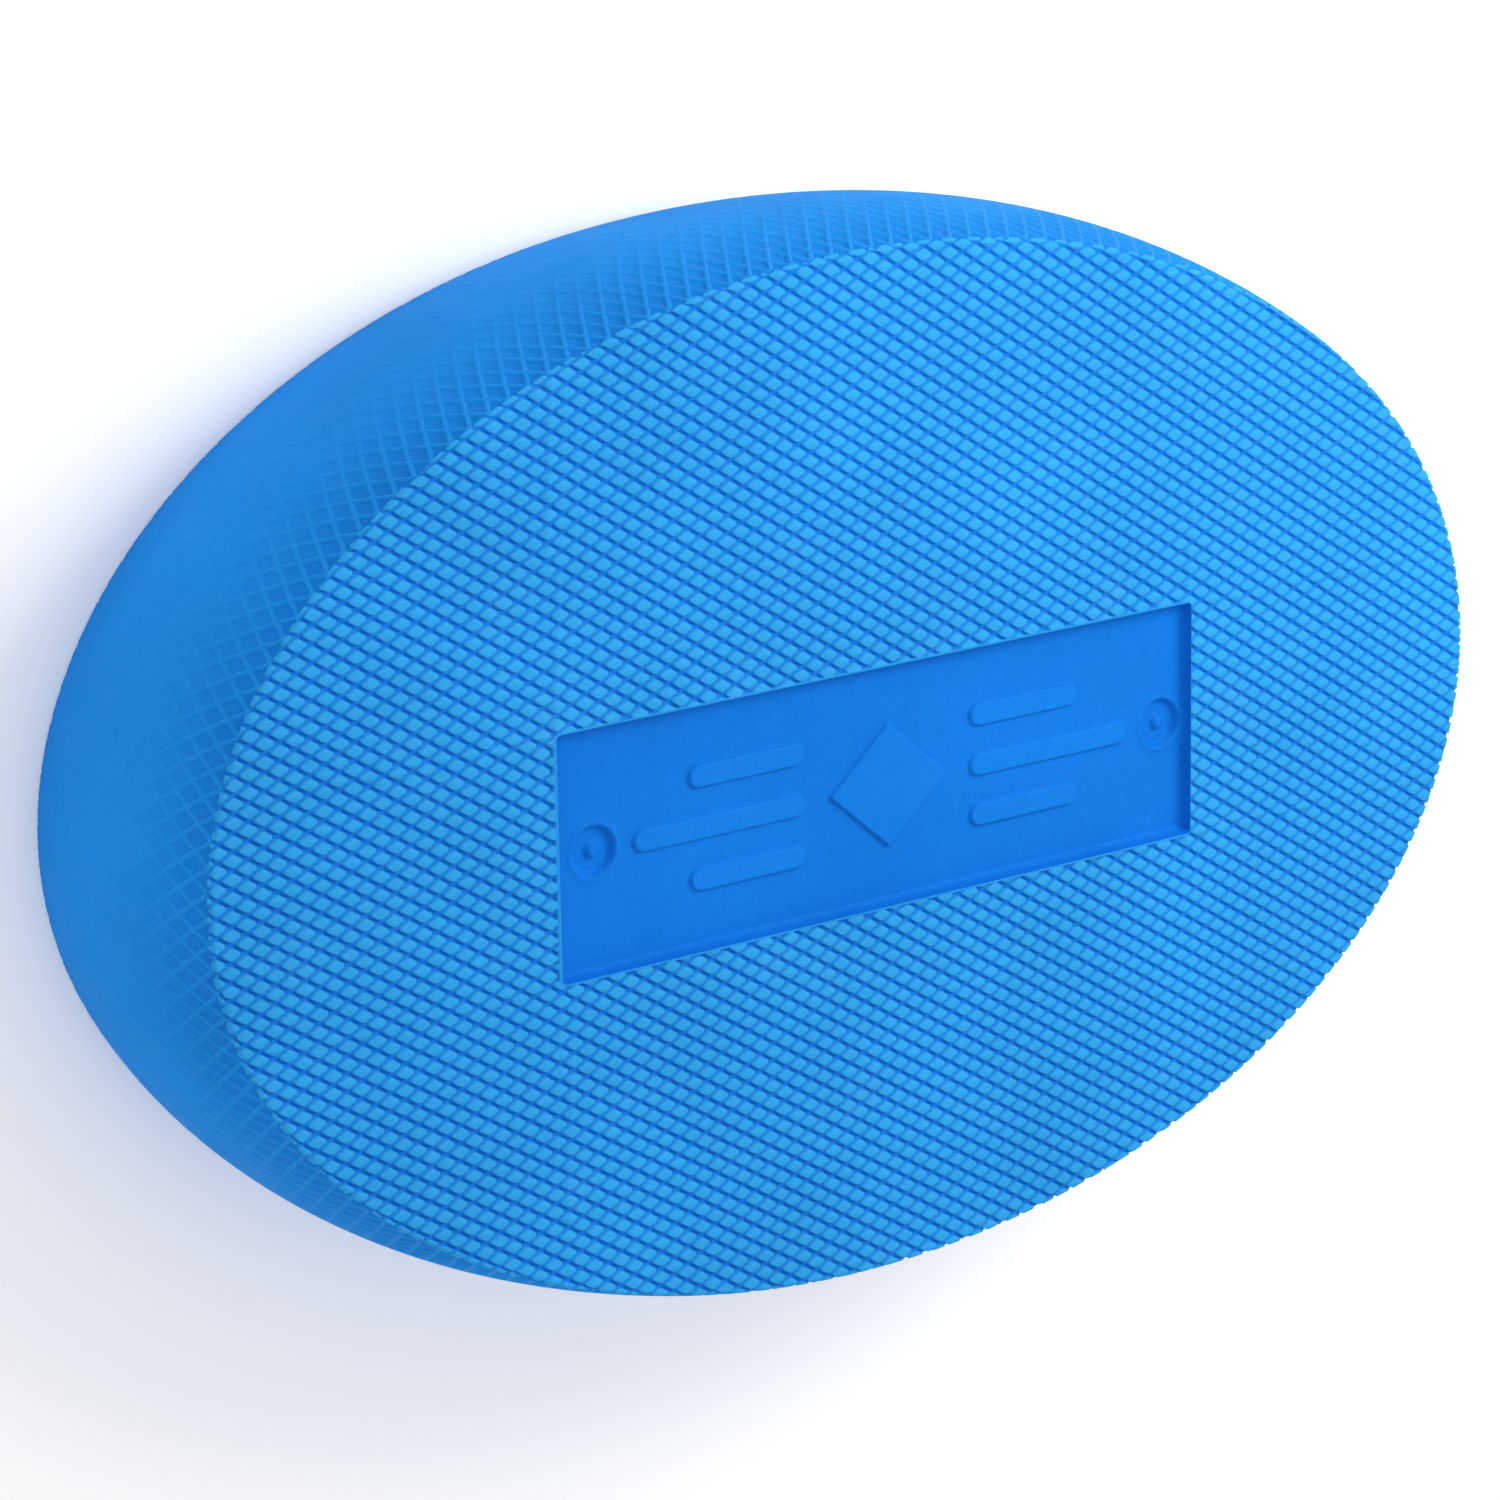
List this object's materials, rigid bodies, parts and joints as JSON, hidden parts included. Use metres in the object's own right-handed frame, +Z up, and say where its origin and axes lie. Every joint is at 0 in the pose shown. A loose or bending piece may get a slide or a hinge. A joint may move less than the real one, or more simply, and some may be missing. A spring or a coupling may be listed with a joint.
{
  "type": "oval foam balance pad",
  "caption": "Thick oval pad of closed-cell foam with a raised diamond tread, a bulging net-ribbed wall and a smooth sunken panel, for balance and stability exercises.",
  "frame": {"origin": "centre of the oval base, on the surface that the pad rests on", "axes": "+X along the long axis, +Y along the short axis away from the sunken panel's near side, +Z up through the upper tread"},
  "size_m": [0.33, 0.2224, 0.0635],
  "materials": {
    "tread_foam": "matte moulded foam skin, raised diamond tread",
    "smooth_foam": "fine-grained satin foam skin without tread",
    "wall_foam": "matte moulded foam skin, fine raised net",
    "core_foam": "fine closed-cell foam"
  },
  "bodies": {
    "root": {"upper_tread_skin": "tread_foam", "base_tread_skin": "tread_foam", "recess_panel": "smooth_foam", "upper_wall_skin": "wall_foam", "lower_wall_skin": "wall_foam", "foam_core": "core_foam"}
  },
  "joints": []
}
